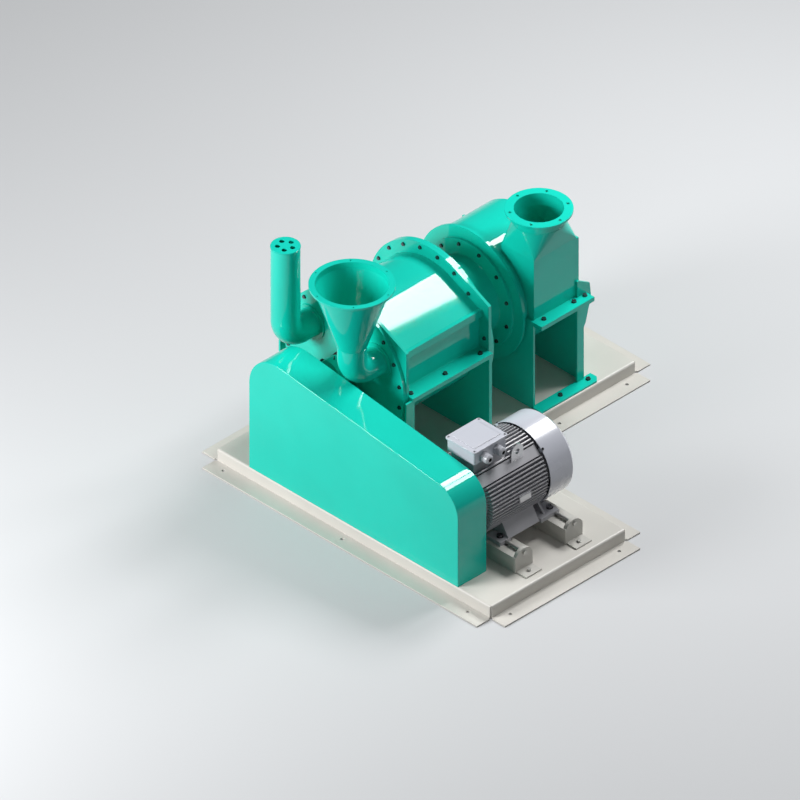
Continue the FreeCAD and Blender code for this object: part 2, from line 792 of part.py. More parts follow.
def make_shaft():
    profile = [(0, shaft_y0), (pulley_seat_r - 2, shaft_y0), (pulley_seat_r, shaft_y0 + 2),
               (pulley_seat_r, pulley_y1 + 6), (journal_r, pulley_y1 + 6),
               (journal_r, front_bearing_y + 40), (shaft_r, front_bearing_y + 40),
               (shaft_r, rear_bearing_y - 40), (journal_r, rear_bearing_y - 40),
               (journal_r, journal_end), (0, journal_end)]
    return lathe_y(profile)


def make_pulley(radius, bore_r, x, z, spokes):
    """V-belt pulley with a web, hub and one groove for each belt."""
    half = belt_top_w / 2
    slope = math.tan(math.radians(18))
    bottom = radius - belt_depth - 2.0
    profile = [(bore_r + run_fit, pulley_y0), (radius, pulley_y0)]
    for i in range(belt_count):
        c = belt_mid_y + (i - (belt_count - 1) / 2.0) * belt_pitch
        foot = half - (radius - bottom) * slope
        profile += [(radius, c - half), (bottom, c - foot), (bottom, c + foot), (radius, c + half)]
    profile += [(radius, pulley_y1), (bore_r + run_fit, pulley_y1)]
    wheel = lathe_y(profile, x, z)
    hub = bore_r * 1.75
    rim_in = bottom - 14.0
    if rim_in - hub > 12.0:
        web = 12.0
        for a, b in ((pulley_y0 - 1, belt_mid_y - web), (belt_mid_y + web, pulley_y1 + 1)):
            wheel = wheel.cut(ring_y(rim_in, hub, a, b, x, z))
        if spokes:
            mid = (rim_in + hub) / 2
            windows = [cyl_y(0.3 * (rim_in - hub), pulley_y0 - 1, pulley_y1 + 1, px, pz)
                       for px, pz in polar(mid, spokes, 0, x, z)]
            wheel = drill(wheel, windows)
    return wheel


rotor_y0 = cas1_y0 + 2 * flange_t + 26.0
rotor_y1 = cas1_y1 - 2 * flange_t - 26.0
rotor_r = liner_r - liner_t - 22.0
beater_gap = 8.0
beaters = 12
hub_r = 75.0
disc_t = 14.0


def make_rotor():
    """Two discs on a hub sleeve."""
    hub = ring_y(hub_r, shaft_r + run_fit, rotor_y0, rotor_y1)
    discs = []
    for y in (rotor_y0 + 20.0, rotor_y1 - 20.0 - disc_t):
        discs.append(ring_y(rotor_r, shaft_r + run_fit, y, y + disc_t))
    return join([hub] + discs)


def make_beaters():
    """Bars set round the rotor discs, resting between them."""
    y0 = rotor_y0 + 20.0 + disc_t
    y1 = rotor_y1 - 20.0 - disc_t
    bars = []
    for i in range(beaters):
        bar = box(axis_x + rotor_r - 70.0, axis_x + rotor_r + beater_gap, y0, y1, axis_z - 10, axis_z + 10)
        bar.rotate(V(axis_x, 0, axis_z), V(0, 1, 0), i * 360.0 / beaters)
        bars.append(bar)
    return bars


impeller_y0 = fan_y0 + fan_plate_t + 14.0
impeller_y1 = fan_y1 - 24.0
impeller_r = 290.0
impeller_blades = 10


def make_impeller():
    """Back plate, hub and straight radial blades."""
    back = ring_y(impeller_r, shaft_r + run_fit, impeller_y1 - 8.0, impeller_y1)
    hub = ring_y(hub_r, shaft_r + run_fit, impeller_y0 + 60.0, impeller_y1)
    blades = []
    for i in range(impeller_blades):
        blade = prism_x([(impeller_y0 + 90.0, 0), (impeller_y0 + 10.0, 140.0), (impeller_y0, 220.0),
                         (impeller_y1 - 4.0, 220.0), (impeller_y1 - 4.0, 0)], -3.0, 3.0)
        blade.translate(V(axis_x, 0, axis_z + impeller_r - 220.0 - 2.0))
        blade.rotate(V(axis_x, 0, axis_z), V(0, 1, 0), i * 360.0 / impeller_blades)
        blades.append(blade)
    return join([back, hub] + blades)


export("main_shaft", make_shaft())
export("mill_pulley", make_pulley(mill_pulley_r, pulley_seat_r, axis_x, axis_z, 0))
export("rotor_discs", make_rotor())
export("rotor_beaters", make_beaters())
export("fan_impeller", make_impeller())


# Bearings, their split housings and the shaft seals
housing_r = 72.0
housing_w = 76.0
housing_base = 138.0
bearing_out_r = 60.0


def make_housing(y):
    y0 = y - housing_w / 2
    y1 = y + housing_w / 2
    barrel = cyl_y(housing_r, y0, y1)
    foot = box(axis_x - housing_base, axis_x + housing_base, y0 + 3, y1 - 3, bracket_top, bracket_top + 28.0)
    waist = box(axis_x - housing_r, axis_x + housing_r, y0 + 3, y1 - 3, bracket_top, axis_z)
    ears = box(axis_x - housing_r - 26.0, axis_x + housing_r + 26.0, y0 + 14, y1 - 14, axis_z - 14, axis_z + 14)
    body = join([barrel, foot, waist, ears])
    body = body.cut(cyl_y(bearing_out_r + run_fit, y - bearing_w / 2, y + bearing_w / 2))
    body = body.cut(cyl_y(journal_r + 1.0, y0 - 1, y1 + 1))
    tools = [cyl_z(bearing_bolt_d / 2 + bolt_gap, bracket_top - 1, bracket_top + 40.0,
                   axis_x + s * bearing_bolt_x, y) for s in (-1, 1)]
    return drill(body, tools)


def make_bearing(y, x=axis_x, z=axis_z, seat=journal_r, out=bearing_out_r, w=bearing_w):
    half = w / 2
    body = ring_y(out, seat + run_fit, y - half, y + half, x, z)
    mid = (seat + out) / 2
    groove = 0.28 * (out - seat)
    for a, b in ((y - half - 1, y - half + 3), (y + half - 3, y + half + 1)):
        body = body.cut(ring_y(mid + groove, mid - groove, a, b, x, z))
    return body


def make_seal(y0, y1, x=axis_x, z=axis_z):
    ring = ring_y(seal_r, shaft_r + run_fit, y0, y1, x, z)
    return ring.fuse(ring_y(seal_r + 16.0, shaft_r + run_fit, y0 - 8.0, y0, x, z)).removeSplitter()


export("front_bearing_housing", make_housing(front_bearing_y))
export("rear_bearing_housing", make_housing(rear_bearing_y))
export("front_bearing", make_bearing(front_bearing_y))
export("rear_bearing", make_bearing(rear_bearing_y))
front_seal = make_seal(cas1_y0, cas1_y0 + flange_t)
export("front_shaft_seal", front_seal)
export("rear_shaft_seal", ring_y(seal_r, shaft_r + run_fit, fan_y1, fan_y1 + fan_plate_t))


# Motor: finned frame with feet, shields, fan and cowl
def make_motor_frame():
    tube = cyl_y(motor_r, motor_y0 + shield_t, motor_y1 - shield_t, motor_x, motor_z)
    fins = []
    ya = motor_y0 + shield_t + 20.0
    yb = motor_y1 - shield_t - 6.0
    step = 360.0 / fin_count
    for i in range(fin_count):
        a = (i + 0.5) * step
        if band_from < min(a, 180.0 - a) < band_to or 236.0 < a < 304.0:
            continue
        y0 = box_y1 + 12.0 if 60.0 < a < 120.0 else ya
        fin = box(motor_x + motor_r - 3, motor_x + fin_r, y0, yb, motor_z - fin_t / 2, motor_z + fin_t / 2)
        fin.rotate(V(motor_x, 0, motor_z), V(0, 1, 0), -a)
        fins.append(fin)
    bands = []
    for a in (band_mid, 180.0 - band_mid):
        w = fin_r * math.sin(math.radians(0.5 * (band_to - band_from))) - 2.0
        band = box(motor_x + motor_r - 24, motor_x + band_r, ya - 18.0, yb, motor_z - w, motor_z + w)
        band.rotate(V(motor_x, 0, motor_z), V(0, 1, 0), -a)
        bands.append(band)
    bands.append(box(motor_x + motor_r, motor_x + fin_r + 3.0, plate_y0, plate_y1, motor_z - 34.0, motor_z + 8.0))
    saddle = box(box_x0 + 20, box_x1 - 20, box_y0 + 14, box_y1 - 14, motor_z + 120.0, box_z0)
    foot_z = base_h + rail_h
    top = foot_z + foot_h
    out = foot_hole_a / 2 + 42.0
    feet = []
    for y0, y1 in ((rail_ys[0] - foot_pad, rail_ys[0] + foot_pad), (rail_ys[1] - foot_long, rail_ys[1] + 24.0)):
        for x0, x1 in ((motor_x - out, motor_x - out + 104.0), (motor_x + out - 104.0, motor_x + out)):
            feet.append(box(x0, x1, y0, y1, foot_z, top))
    # Slanted side plates from the feet up to the tube, closed by a web at each end
    high = motor_z - 126.0
    for s in (-1, 1):
        side = [(out, top - 4.0), (out - 50.0, high), (118.0, high), (118.0, high - 12.0),
                (out - 58.0, high - 12.0), (out - 16.0, top - 4.0)]
        feet.append(prism_y([(motor_x + s * x, z) for x, z in side], side_plate_y0, side_plate_y1))
    web = [(motor_x - out + 10, top - 4.0), (motor_x - out + 56, high - 2), (motor_x + out - 56, high - 2),
           (motor_x + out - 10, top - 4.0)]
    for y in (side_plate_y0 + 2.0, side_plate_y1 - 14.0):
        feet.append(prism_y(web, y, y + 12.0))
    rear = [(motor_x - out + 22, top - 2), (motor_x - 110.0, high + 16), (motor_x + 110.0, high + 16),
            (motor_x + out - 22, top - 2)]
    feet.append(prism_y(rear, motor_y1 - 44.0, motor_y1 - 32.0))
    rails = box(motor_x - out + 22, motor_x + out - 22, rail_ys[0] - foot_pad, rail_ys[1], foot_z + 8.0, top)
    rails = rails.cut(box(motor_x - 136, motor_x + 136, motor_y0 - 100, cowl_y1, foot_z, top + 1))
    body = join([tube, saddle, rails] + bands + fins + feet)
    tools = [cyl_y(motor_bore_r, motor_y0, motor_y1, motor_x, motor_z)]
    for x, y in foot_hole_places + spare_hole_places:
        tools.append(cyl_z(foot_hole_d / 2, foot_z - 1, top + 1, x, y))
    tools.append(cyl_z(30.0, motor_z + 100.0, box_z0 + 1, motor_x, (box_y0 + box_y1) / 2))
    return drill(body, tools)


band_mid = 0.5 * (band_from + band_to)
band_r = fin_r - band_in
foot_bolt_dia = 16.0
foot_hole_d = foot_bolt_dia + 2.0
foot_hole_places = [(motor_x + s * foot_hole_a / 2, y) for s in (-1, 1) for y in rail_ys]
spare_hole_places = [(motor_x + s * foot_hole_a / 2, rail_ys[1] - foot_spare) for s in (-1, 1)]
motor_bearing_r = 55.0
motor_bearing_w = 30.0
motor_journal_r = 32.0


def make_shield(y0, y1, bearing_y, outward):
    rim = cyl_y(motor_r + 14.0, y0, y1, motor_x, motor_z)
    face = y0 if outward < 0 else y1
    boss = cyl_y(86.0, min(face, face + outward * 6.0), max(face, face + outward * 6.0), motor_x, motor_z)
    body = join([rim, boss])
    tools = [cyl_y(motor_bearing_r + run_fit, bearing_y - motor_bearing_w / 2, bearing_y + motor_bearing_w / 2,
                   motor_x, motor_z),
             cyl_y(motor_journal_r + 1.0, y0 - 20, y1 + 20, motor_x, motor_z)]
    return drill(body, tools)


front_motor_bearing_y = motor_y0 + shield_t - motor_bearing_w / 2
rear_motor_bearing_y = motor_y1 - shield_t + motor_bearing_w / 2
export("motor_frame", make_motor_frame())
export("drive_end_shield", make_shield(motor_y0, motor_y0 + shield_t, front_motor_bearing_y, -1))
export("fan_end_shield", make_shield(motor_y1 - shield_t, motor_y1, rear_motor_bearing_y, 0))
for name, y in (("drive_end_bearing", front_motor_bearing_y), ("fan_end_bearing", rear_motor_bearing_y)):
    export(name, make_bearing(y, motor_x, motor_z, motor_journal_r, motor_bearing_r, motor_bearing_w))

stator_in = 112.0
core_y0 = motor_y0 + core_inset
core_y1 = motor_y1 - core_inset
export("stator_core", ring_y(motor_bore_r - 0.2, stator_in, core_y0, core_y1, motor_x, motor_z))


def make_motor_shaft():
    end = cowl_y1 - shaft_back
    profile = [(0, motor_shaft_y), (motor_shaft_r - 2, motor_shaft_y), (motor_shaft_r, motor_shaft_y + 2),
               (motor_shaft_r, motor_y0 - 10), (motor_journal_r, motor_y0 - 10),
               (motor_journal_r, core_y0 - 30), (core_bore_r, core_y0 - 30), (core_bore_r, core_y1 + 30),
               (motor_journal_r, core_y1 + 30), (motor_journal_r, motor_y1 + 4), (cool_seat_r, motor_y1 + 4),
               (cool_seat_r, end), (0, end)]
    return lathe_y(profile, motor_x, motor_z)


def make_fan():
    y0 = motor_y1 + cool_gap
    y1 = cowl_y1 - cool_back
    hub = ring_y(cool_hub_r, cool_seat_r + run_fit, y0, y1, motor_x, motor_z)
    disc = ring_y(cool_disc_r, cool_seat_r + run_fit, y0, y0 + 5.0, motor_x, motor_z)
    blades = []
    for i in range(8):
        blade = box(motor_x + cool_hub_r - 6.0, motor_x + cool_r, y0, y1, motor_z - 2.5, motor_z + 2.5)
        blade.rotate(V(motor_x, 0, motor_z), V(0, 1, 0), i * 45.0)
        blades.append(blade)
    return join([hub, disc] + blades)


def make_cowl():
    y0 = motor_y1 - shield_t + 4.0
    outer = cyl_y(cowl_r, y0, cowl_y1, motor_x, motor_z)
    outer = chamfer_if(outer, cowl_round, lambda e: e.BoundBox.YMin > cowl_y1 - 0.01)
    inner = cyl_y(cowl_r - cowl_t, y0 - 1, cowl_y1 - cowl_t, motor_x, motor_z)
    inner = chamfer_if(inner, cowl_round - cowl_t, lambda e: e.BoundBox.YMin > cowl_y1 - cowl_t - 0.01)
    tools = [inner]
    for ring, r in enumerate((70.0, 105.0, 140.0)):
        for x, z in polar(r, 12, 15.0 * ring, motor_x, motor_z):
            tools.append(cyl_y(9.0, cowl_y1 - cowl_t - 2, cowl_y1 + 1, x, z))
    shell = drill(outer, tools)
    tabs = []
    for a in (45, 135, 225, 315):
        tab = box(motor_x + motor_r + 12.0, motor_x + cowl_r - 1, y0, y0 + 14.0, motor_z - 12, motor_z + 12)
        tab.rotate(V(motor_x, 0, motor_z), V(0, 1, 0), a)
        tabs.append(tab)
    return join([shell] + tabs).cut(cyl_y(motor_r + 14.1, y0 - 5, y0 + 20, motor_x, motor_z))


export("motor_shaft", make_motor_shaft())
export("rotor_core", ring_y(stator_in - 1.0, core_bore_r + run_fit, core_y0, core_y1, motor_x, motor_z))
export("motor_fan", make_fan())
export("fan_cowl", make_cowl())
export("motor_pulley", make_pulley(motor_pulley_r, motor_shaft_r, motor_x, motor_z, 5))


# Terminal box, lid, cable glands and lifting eye
def make_terminal_box():
    body = box(box_x0, box_x1, box_y0, box_y1, box_z0, box_z1)
    body = fillet_if(body, 10.0, lambda e: abs(e.BoundBox.ZLength - (box_z1 - box_z0)) < 0.01)
    body = body.cut(box(box_x0 + 6, box_x1 - 6, box_y0 + 6, box_y1 - 6, box_z0 + 6, box_z1 + 1))
    tools = [cyl_x(gland_neck_r, box_x1 - 8, box_x1 + 1, y, gland_z) for y in gland_ys]
    tools.append(cyl_z(30.0, box_z0 - 1, box_z0 + 8, motor_x, (box_y0 + box_y1) / 2))
    return drill(body, tools)


def make_lid():
    over = 7.0
    lid = box(box_x0 - over, box_x1 + over, box_y0 - over, box_y1 + over, box_z1, box_z1 + lid_t)
    lid = fillet_if(lid, 12.0, lambda e: abs(e.BoundBox.ZLength - lid_t) < 0.01)
    pad = box(box_x0 + 22, box_x1 - 22, box_y0 + 22, box_y1 - 22, box_z1 + lid_t, box_z1 + lid_t + 3.0)
    return join([lid, pad])


def make_gland(y):
    z = gland_z
    end = box_x1 + gland_l
    body = cyl_x(gland_neck_r - slip, box_x1 - 6, box_x1 + 3, y, z)
    nut = hexagon(gland_r, gland_nut_h, V(box_x1, y, z), V(1, 0, 0))
    dome = cyl_x(gland_r * 0.86, box_x1 + gland_nut_h, end, y, z)
    dome = chamfer_if(dome, 7.0, lambda e: e.BoundBox.XMin > end - 0.01)
    return join([body, nut, dome]).cut(cyl_x(gland_neck_r * 0.7, box_x1 + gland_nut_h, end + 1, y, z))


def make_lifting_eye():
    """Upright lug with a round eye, its foot cut to the slope of the motor's band."""
    x0 = motor_x + eye_off
    x1 = x0 + eye_t
    eye_z = motor_z + eye_rise
    disc = cyl_x(eye_out_r, x0, x1, eye_y, eye_z)
    foot = box(x0, x1, eye_y - eye_out_r, eye_y + eye_out_r, eye_z - 2 * eye_out_r, eye_z)
    above = box(motor_x + band_r, motor_x + 2 * fin_r, motor_y0, motor_y1, motor_z - fin_r, motor_z + fin_r)
    above.rotate(V(motor_x, 0, motor_z), V(0, 1, 0), -band_mid)
    hole = cyl_x(eye_hole_r, x0 - 1, x1 + 1, eye_y, eye_z)
    return join([disc, foot]).common(above).cut(hole)


export("terminal_box", make_terminal_box())
export("terminal_box_lid", make_lid())
export("cable_glands", [make_gland(y) for y in gland_ys])
export("lifting_eye", make_lifting_eye())


# Slide rails under the motor feet, with adjusting bolts
def make_rail(y):
    z0 = base_h
    z1 = base_h + rail_h
    w = rail_w / 2
    body = box(rail_x0, rail_x1, y - w, y + w, z0, z1)
    hollow = box(rail_x0 + 18, rail_x1 - 18, y - w + 12, y + w - 12, z0 - 1, z1 - 14)
    post = cyl_x(w, rail_x1 - post_t, rail_x1, y, z1 + post_up - w)
    post = post.common(box(rail_x1 - post_t, rail_x1, y - w, y + w, z0, z1 + post_up))
    tabs = [box(rail_x1 - 1, rail_x1 + tab_l, y - tab_w / 2, y + tab_w / 2, z0, z0 + tab_t),
            box(rail_x0 - tab_l, rail_x0 + 1, y - tab_w / 2, y + tab_w / 2, z0, z0 + tab_t)]
    rail = join([body.cut(hollow), post] + tabs)
    tools = []
    for s in (-1, 1):
        cx = motor_x + s * foot_hole_a / 2
        tools.append(box(cx - rail_slot_l / 2, cx + rail_slot_l / 2, y - rail_slot_w / 2, y + rail_slot_w / 2,
                         z1 - 20, z1 + 1))
    for x in (rail_x0 - tab_l / 2, rail_x1 + tab_l / 2):
        tools.append(cyl_z(foot_bolt_d / 2 + bolt_gap, z0 - 1, z0 + tab_t + 1, x, y))
    tools.append(cyl_x(adjust_d / 2 + slip, rail_x1 - 30, rail_x1 + 5, y, z1 + adjust_up))
    return drill(rail, tools)


adjust_d = 16.0
adjust_up = 12.0
post_t = 20.0
post_up = 36.0


def make_adjuster(y):
    """Long set bolt through the rail's end post, against the motor foot."""
    z = base_h + rail_h + adjust_up
    tip = motor_x + foot_hole_a / 2 + 42.0
    shank = cyl_x(adjust_d / 2, tip, rail_x1 + 1.0, y, z)
    head = hexagon(13.0, 9.0, V(rail_x1, y, z), V(1, 0, 0))
    return join([shank, head])


export("front_slide_rail", make_rail(rail_ys[0]))
export("rear_slide_rail", make_rail(rail_ys[1]))
export("adjusting_bolts", [make_adjuster(y) for y in rail_ys])


# Belts: closed loops of four V belts round both pulleys
def belt_loop(r_small, r_large, y0, y1):
    """Stadium of two unequal circles joined by their outer tangents, a solid slab."""
    dx = motor_x - axis_x
    dz = motor_z - axis_z
    dist = math.hypot(dx, dz)
    base = math.atan2(dz, dx)
    lean = math.acos((r_large - r_small) / dist)
    up = base + math.pi - lean
    low = base - math.pi + lean
    a0 = V(axis_x + r_small * math.cos(up), y0, axis_z + r_small * math.sin(up))
    a1 = V(motor_x + r_large * math.cos(up), y0, motor_z + r_large * math.sin(up))
    b0 = V(axis_x + r_small * math.cos(low), y0, axis_z + r_small * math.sin(low))
    b1 = V(motor_x + r_large * math.cos(low), y0, motor_z + r_large * math.sin(low))
    far = V(motor_x + r_large * math.cos(base), y0, motor_z + r_large * math.sin(base))
    near = V(axis_x - r_small * math.cos(base), y0, axis_z - r_small * math.sin(base))
    wire = Part.Wire([Part.makeLine(a0, a1), Part.Arc(a1, far, b1).toShape(), Part.makeLine(b1, b0),
                      Part.Arc(b0, near, a0).toShape()])
    return Part.Face(wire).extrude(V(0, y1 - y0, 0))


def make_belt(index):
    c = belt_mid_y + (index - (belt_count - 1) / 2.0) * belt_pitch
    slope = math.tan(math.radians(18))
    steps = [(belt_rise, -0.5 * belt_depth), (-0.5 * belt_depth, -belt_depth)]
    slabs = []
    for top, bottom in steps:
        half = belt_top_w / 2 + bottom * slope - belt_gap
        outer = belt_loop(mill_pulley_r + top, motor_pulley_r + top, c - half, c + half)
        inner = belt_loop(mill_pulley_r + bottom + belt_gap, motor_pulley_r + bottom + belt_gap,
                          c - half - 1, c + half + 1)
        slabs.append(outer.cut(inner))
    return join(slabs)


export("v_belts", [make_belt(i) for i in range(belt_count)])


# Belt guard: a bent sheet cover with a bolted back plate
def guard_outline(inset, y):
    def top(x):
        return guard_top - guard_slope * x - inset
    x0 = guard_x0 + inset
    x1 = guard_x1 - inset
    points = [V(x0, y, base_h), V(x0, y, top(x0)), V(x1, y, top(x1)), V(x1, y, base_h)]
    wire = Part.makePolygon(points + points[:1])
    solid = Part.Face(wire)
    return solid, (x0, top(x0)), (x1, top(x1))


def guard_block(inset, y0, y1):
    face, left, right = guard_outline(inset, y0)
    solid = face.extrude(V(0, y1 - y0, 0))

    def corner(at):
        def test(e):
            b = e.BoundBox
            return abs(b.YLength - (y1 - y0)) < 0.01 and abs(b.XMin - at[0]) < 0.01 and abs(b.ZMin - at[1]) < 0.01
        return test
    solid = fillet_if(solid, guard_r_left - inset, corner(left))
    return fillet_if(solid, guard_r_right - inset, corner(right))


def make_guard():
    outer = guard_block(0, guard_y0, guard_y1)
    outer = fillet_if(outer, 4.0, lambda e: e.BoundBox.YMax < guard_y0 + 0.01 and e.BoundBox.ZMin > base_h + 1)
    inner = guard_block(guard_t, guard_y0 + guard_t, guard_y1 + 1)
    inner = inner.fuse(box(guard_x0 + guard_t, guard_x1 - guard_t, guard_y0 + guard_t, guard_y1 + 1,
                           base_h - 1, base_h + 20))
    return outer.cut(inner)


def make_guard_back():
    plate = guard_block(guard_t + slip, guard_y1 - guard_back_t, guard_y1)
    strip = box(guard_strip_x0, guard_strip_x1, guard_y1 - guard_back_t, guard_y1 + 30.0, base_h, base_h + guard_back_t)
    tools = [cyl_y(62.0, 0, 300), cyl_y(92.0, 0, 300, motor_x, motor_z)]
    slot = box(motor_x - 40.0, motor_x + 40.0, 0, 300, motor_z - 92.0, motor_z + 92.0)
    tools.append(slot)
    tools += [cyl_z(guard_bolt_d / 2 + bolt_gap, base_h - 1, base_h + 10, x, y) for x, y in guard_feet]
    return drill(join([plate, strip]), tools)


export("belt_guard", make_guard())
export("guard_back_plate", make_guard_back())


# Fasteners, one node for each set
def bolts_y(points, d, seat_y, direction, grip):
    return [bolt(d, V(x, seat_y, z), V(0, direction, 0), grip) for x, z in points]


export("front_flange_bolts", bolts_y(ring_points, ring_bolt_d, cas1_y0, -1, 2 * flange_t))
export("throat_disc_bolts", bolts_y(throat_disc_points, ring_bolt_d, cas1_y1 - 2 * flange_t, -1, 2 * flange_t))
export("throat_bolts", bolts_y(throat_points, throat_bolt_d, fan_y0 - 14.0, -1, 14.0 + fan_plate_t))
export("rear_cover_bolts", bolts_y(rear_points, rear_bolt_d, fan_y1 + fan_plate_t, 1, fan_plate_t + 12.0))


def bolts_z(points, d, seat_z, grip):
    return [bolt(d, V(x, y, seat_z), V(0, 0, 1), grip) for x, y in points]


export("front_shelf_bolts", bolts_z(shelf_points(shelf1_x, shelf1_ys), shelf_bolt_d, axis_z, 2 * shelf_t))
export("rear_shelf_bolts", bolts_z(shelf_points(shelf2_x, shelf2_ys), shelf_bolt_d, axis_z, 2 * shelf_t))
export("support_foot_bolts", bolts_z(foot_places + pedestal_places, foot_bolt_d, base_h + foot_t, foot_t + base_t))
export("rail_foot_bolts", bolts_z(rail_places, foot_bolt_d, base_h + tab_t, tab_t + base_t))
export("guard_bolts", bolts_z(guard_feet, guard_bolt_d, base_h + guard_back_t, guard_back_t + base_t))
bearing_points = [(axis_x + s * bearing_bolt_x, y) for s in (-1, 1) for y in (front_bearing_y, rear_bearing_y)]
export("bearing_bolts", bolts_z(bearing_points, bearing_bolt_d, bracket_top + 28.0, 28.0 + bracket_t))
export("motor_foot_bolts", bolts_z(foot_hole_places, foot_bolt_dia, base_h + rail_h + foot_h, foot_h + 14.0))
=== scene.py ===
import json
import math

import bmesh
import bpy
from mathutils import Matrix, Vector


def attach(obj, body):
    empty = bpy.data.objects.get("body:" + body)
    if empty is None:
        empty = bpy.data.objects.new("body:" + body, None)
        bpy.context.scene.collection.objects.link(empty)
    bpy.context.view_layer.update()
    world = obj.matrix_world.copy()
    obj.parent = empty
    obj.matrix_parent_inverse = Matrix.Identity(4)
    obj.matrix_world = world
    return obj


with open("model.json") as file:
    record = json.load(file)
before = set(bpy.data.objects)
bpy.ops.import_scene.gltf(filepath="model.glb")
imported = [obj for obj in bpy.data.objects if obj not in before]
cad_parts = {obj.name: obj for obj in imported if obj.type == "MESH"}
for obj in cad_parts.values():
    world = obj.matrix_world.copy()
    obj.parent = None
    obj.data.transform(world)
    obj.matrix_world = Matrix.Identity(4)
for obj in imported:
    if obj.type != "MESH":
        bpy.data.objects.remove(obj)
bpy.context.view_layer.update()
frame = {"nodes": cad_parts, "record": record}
nodes = frame["nodes"]

# Frame of the part: the base's left and front webs lie at this corner (metres)
CORNER_X = -0.962
CORNER_Y = -1.0
MM = 0.001


def at(x, y, z):
    """A place given in millimetres from the base's corner, in the row frame."""
    return Vector((CORNER_X + x * MM, CORNER_Y + y * MM, z * MM))


# Places and sizes that follow the construction (millimetres)
MILL_X = 470.0
MILL_Z = 601.0
MOTOR_X = 1458.0
MOTOR_Z = 388.0

# Screw rings of the flanges (angles in degrees); the hood takes up one place behind the flange
RING_R = 393.0
RING_COUNT = 20
RING_FIRST = 9.0
HOOD_PLACE = 1
FRONT_RING_BACK = 461.0
THROAT_DISC_BACK = 1055.0
THROAT_RING_R = 273.0
THROAT_COUNT = 12
THROAT_FIRST = 15.0
THROAT_BACK = 1330.0
RING_NUT_D = 10.0

# Grinding chamber and throat; the bead round the chamber stops at the hood (degrees)
CASING_R = 350.0
CASING_RING_A = 461.0
CASING_RING_B = 1019.0
CASING_BEAD_START = 70.0
CASING_BEAD_SWEEP = 252.0
SHELF_T = 12.0
BEAD_INSET = 4.0
THROAT_R = 215.0
THROAT_BEAD_BACK = 1300.0

# Outlet neck
OUTLET = (747.0, 1511.5)
NECK_R = 131.0
NECK_FOOT = 1080.0
NECK_TOP = 1139.0

# Air pipe and feed funnel
PIPE_XS = (237.0, 703.0)
PIPE_Y = 248.0
PIPE_Z = 750.0
PIPE_R = 75.0
PIPE_COLLAR_Y = 417.0
CAP_SEAM_Z = 1295.0
CONE_FOOT = 926.0
FUNNEL_R = 189.0
FUNNEL_RING_Z = 1290.0

# Rear support: its legs, and the reach of the bead along the foot, in from the leg's side
REAR_LEG_X = 403.0
REAR_LEG_Y = (1346.0, 1688.0)
LEG_T = 12.0
FOOT_TOP = 85.0
FOOT_BEAD = (14.0, 70.0)

# Bearing housings and the cover over the rear one
FRONT_BEARING_Y = 356.0
REAR_BEARING_Y = 1730.0
HOUSING_R = 72.0
HOUSING_HALF = 38.0
HOUSING_EAR_X = 85.0
HOUSING_EAR_TOP = 14.0
CAP_BOLT_D = 12.0
COVER_T = 9.0
COVER_SCREW_R = 48.0
COVER_SCREW_D = 7.0

# Motor: terminal box lid, cowl, cable glands and rating plate
LID_TOP = 700.0
LID_X = (1361.0, 1555.0)
LID_Y = (252.0, 476.0)
LID_SCREW_INSET = 6.0
LID_SCREW_D = 6.0
COWL_R = 223.5
COWL_SCREW_Y = 668.0
COWL_SCREW_D = 8.0
GLAND_X = 1605.0
GLAND_YS = (314.0, 407.0)
GLAND_Z = 648.0
PLATE_X = 1679.0
PLATE_Y = (449.0, 523.0)
PLATE_Z = (358.0, 392.0)
PLATE_T = 1.0
PLATE_CORNER_R = 4.0
RIVET_INSET = 5.0

# Turned profiles: (radius, along the axis)
GLAND_SEAL = ((0, -20), (11.0, -20), (11.0, -3), (8.0, -1.5), (7.4, -9), (0, -9))
RIVET = ((0, 0), (2.6, 0), (2.2, 1.0), (1.0, 1.7), (0, 1.8))
GREASE_NIPPLE = ((0, -2), (5, -2), (5, 4), (3.2, 5), (3.2, 10), (4.4, 12), (4.4, 14), (2.2, 18),
                 (0, 18))
BEARING_COVER = ((0, 0), (58, 0), (58, 6), (55, 9), (38, 9), (34, 14), (0, 14))

RIGHT = Vector((1, 0, 0))
BACK = Vector((0, 1, 0))
UP = Vector((0, 0, 1))


# Fine surface of every finish: noise detail, ends of the colour ramp, height of the grain (metres)
CLOUD_DETAIL = 6.0
GRAIN_DETAIL = 3.0
RAMP_START = 0.3
RAMP_END = 0.7
GRAIN_HEIGHT = 0.001
LEAST_ROUGHNESS = 0.02
EDGE_SAMPLES = 6


